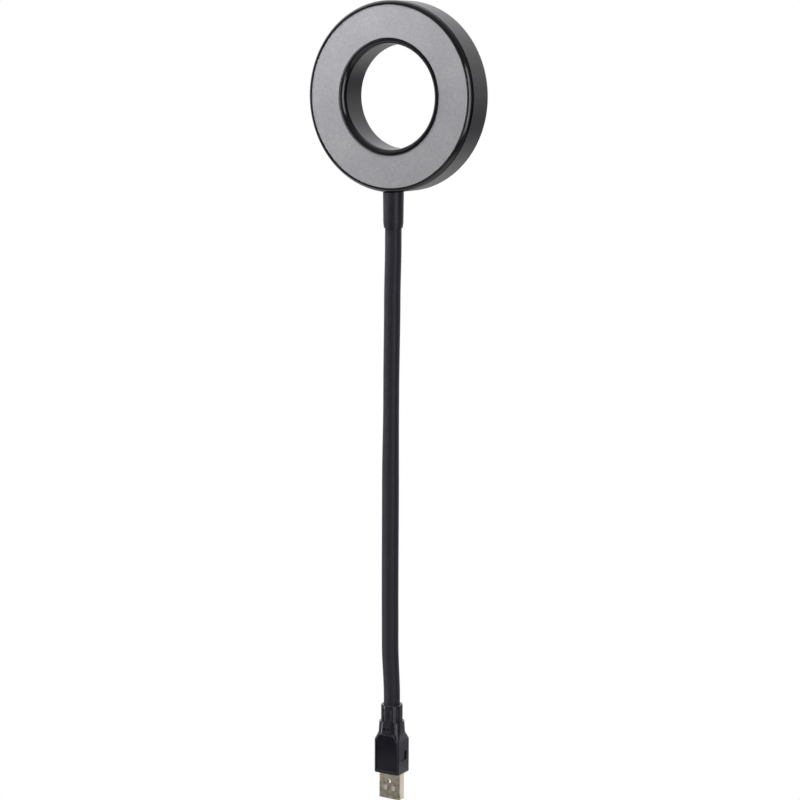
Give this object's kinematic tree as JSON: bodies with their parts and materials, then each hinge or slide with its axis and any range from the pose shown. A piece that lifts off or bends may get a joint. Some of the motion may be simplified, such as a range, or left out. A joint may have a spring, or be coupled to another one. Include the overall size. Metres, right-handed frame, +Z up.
{
  "type": "usb led ring light",
  "caption": "Small LED ring light on a long black flexible gooseneck that ends in a USB-A plug.",
  "frame": {"origin": "centre of the plug's seating face, where the moulding meets the port", "axes": "+Z up the neck to the ring, the light shines towards -Y, +X to the right of someone facing the light"},
  "size_m": [0.09, 0.017, 0.3906],
  "materials": {
    "black_abs": "satin",
    "black_pvc": "satin",
    "neck_pvc": "satin",
    "frosted_polycarbonate": "fine grained",
    "white_plastic": "satin",
    "white_board": "satin solder mask",
    "led_case": "satin",
    "led_phosphor": "clear over yellow",
    "resistor_body": "satin",
    "zinc_steel": "zinc plated",
    "wound_steel": "drawn wire",
    "nickel_steel": "nickel plated",
    "gold_brass": "gold plated",
    "solder": "bright tin",
    "red_insulation": "gloss",
    "black_insulation": "gloss"
  },
  "bodies": {
    "plug": {"plug_overmould": "black_pvc", "plug_inner_mould": "white_plastic", "neck_bottom_ferrule": "zinc_steel", "usb_shell": "nickel_steel", "usb_insulator": "white_plastic", "usb_contacts": "gold_brass", "contact_solder_joints": "solder", "red_wire": "red_insulation", "black_wire": "black_insulation", "neck_sleeve_00": "neck_pvc", "neck_core_00": "wound_steel"},
    "link_01": {"neck_sleeve_01": "neck_pvc", "neck_core_01": "wound_steel"},
    "link_02": {"neck_sleeve_02": "neck_pvc", "neck_core_02": "wound_steel"},
    "link_03": {"neck_sleeve_03": "neck_pvc", "neck_core_03": "wound_steel"},
    "link_04": {"neck_sleeve_04": "neck_pvc", "neck_core_04": "wound_steel"},
    "link_05": {"neck_sleeve_05": "neck_pvc", "neck_core_05": "wound_steel"},
    "link_06": {"neck_sleeve_06": "neck_pvc", "neck_core_06": "wound_steel"},
    "link_07": {"neck_sleeve_07": "neck_pvc", "neck_core_07": "wound_steel"},
    "link_08": {"neck_sleeve_08": "neck_pvc", "neck_core_08": "wound_steel"},
    "link_09": {"neck_sleeve_09": "neck_pvc", "neck_core_09": "wound_steel"},
    "link_10": {"neck_sleeve_10": "neck_pvc", "neck_core_10": "wound_steel"},
    "link_11": {"neck_sleeve_11": "neck_pvc", "neck_core_11": "wound_steel"},
    "head": {"rear_housing": "black_abs", "outer_bezel": "black_abs", "inner_bezel": "black_abs", "diffuser": "frosted_polycarbonate", "reflector_tray": "white_plastic", "led_board": "white_board", "led_chips": "led_case", "led_phosphors": "led_phosphor", "current_resistors": "resistor_body", "board_screws": "zinc_steel", "board_solder_joints": "solder", "neck_collar": "black_abs", "neck_top_ferrule": "zinc_steel", "ferrule_nut": "zinc_steel", "neck_sleeve_12": "neck_pvc", "neck_core_12": "wound_steel"}
  },
  "joints": [
    {"name": "lower_fore_aft", "type": "hinge", "parent": "plug", "child": "link_01", "pos_m": [0, 0, 0.042], "axis": [1, 0, 0], "range_deg": [-25, 25], "deforming": ["red_wire", "black_wire"]},
    {"name": "lower_sideways", "type": "hinge", "parent": "link_01", "child": "link_02", "pos_m": [0, 0, 0.06224], "axis": [0, 1, 0], "range_deg": [-25, 25], "deforming": ["red_wire", "black_wire"]},
    {"name": "lower_fore_aft_2", "type": "hinge", "parent": "link_02", "child": "link_03", "pos_m": [0, 0, 0.08247], "axis": [1, 0, 0], "range_deg": [-25, 25], "deforming": ["red_wire", "black_wire"]},
    {"name": "lower_sideways_2", "type": "hinge", "parent": "link_03", "child": "link_04", "pos_m": [0, 0, 0.10271], "axis": [0, 1, 0], "range_deg": [-25, 25], "deforming": ["red_wire", "black_wire"]},
    {"name": "lower_fore_aft_3", "type": "hinge", "parent": "link_04", "child": "link_05", "pos_m": [0, 0, 0.12294], "axis": [1, 0, 0], "range_deg": [-25, 25], "deforming": ["red_wire", "black_wire"]},
    {"name": "lower_sideways_3", "type": "hinge", "parent": "link_05", "child": "link_06", "pos_m": [0, 0, 0.14318], "axis": [0, 1, 0], "range_deg": [-25, 25], "deforming": ["red_wire", "black_wire"]},
    {"name": "upper_fore_aft", "type": "hinge", "parent": "link_06", "child": "link_07", "pos_m": [0, 0, 0.16342], "axis": [1, 0, 0], "range_deg": [-25, 25], "deforming": ["red_wire", "black_wire"]},
    {"name": "upper_sideways", "type": "hinge", "parent": "link_07", "child": "link_08", "pos_m": [0, 0, 0.18366], "axis": [0, 1, 0], "range_deg": [-25, 25], "deforming": ["red_wire", "black_wire"]},
    {"name": "upper_fore_aft_2", "type": "hinge", "parent": "link_08", "child": "link_09", "pos_m": [0, 0, 0.20389], "axis": [1, 0, 0], "range_deg": [-25, 25], "deforming": ["red_wire", "black_wire"]},
    {"name": "upper_sideways_2", "type": "hinge", "parent": "link_09", "child": "link_10", "pos_m": [0, 0, 0.22413], "axis": [0, 1, 0], "range_deg": [-25, 25], "deforming": ["red_wire", "black_wire"]},
    {"name": "upper_fore_aft_3", "type": "hinge", "parent": "link_10", "child": "link_11", "pos_m": [0, 0, 0.24436], "axis": [1, 0, 0], "range_deg": [-25, 25], "deforming": ["red_wire", "black_wire"]},
    {"name": "upper_sideways_3", "type": "hinge", "parent": "link_11", "child": "head", "pos_m": [0, 0, 0.2646], "axis": [0, 1, 0], "range_deg": [-25, 25], "deforming": ["red_wire", "black_wire"]}
  ],
  "couplings": [
    {"joint": "lower_fore_aft_2", "follows": "lower_fore_aft", "ratio": 1},
    {"joint": "lower_sideways_2", "follows": "lower_sideways", "ratio": 1},
    {"joint": "lower_fore_aft_3", "follows": "lower_fore_aft", "ratio": 1},
    {"joint": "lower_sideways_3", "follows": "lower_sideways", "ratio": 1},
    {"joint": "upper_fore_aft_2", "follows": "upper_fore_aft", "ratio": 1},
    {"joint": "upper_sideways_2", "follows": "upper_sideways", "ratio": 1},
    {"joint": "upper_fore_aft_3", "follows": "upper_fore_aft", "ratio": 1},
    {"joint": "upper_sideways_3", "follows": "upper_sideways", "ratio": 1}
  ]
}
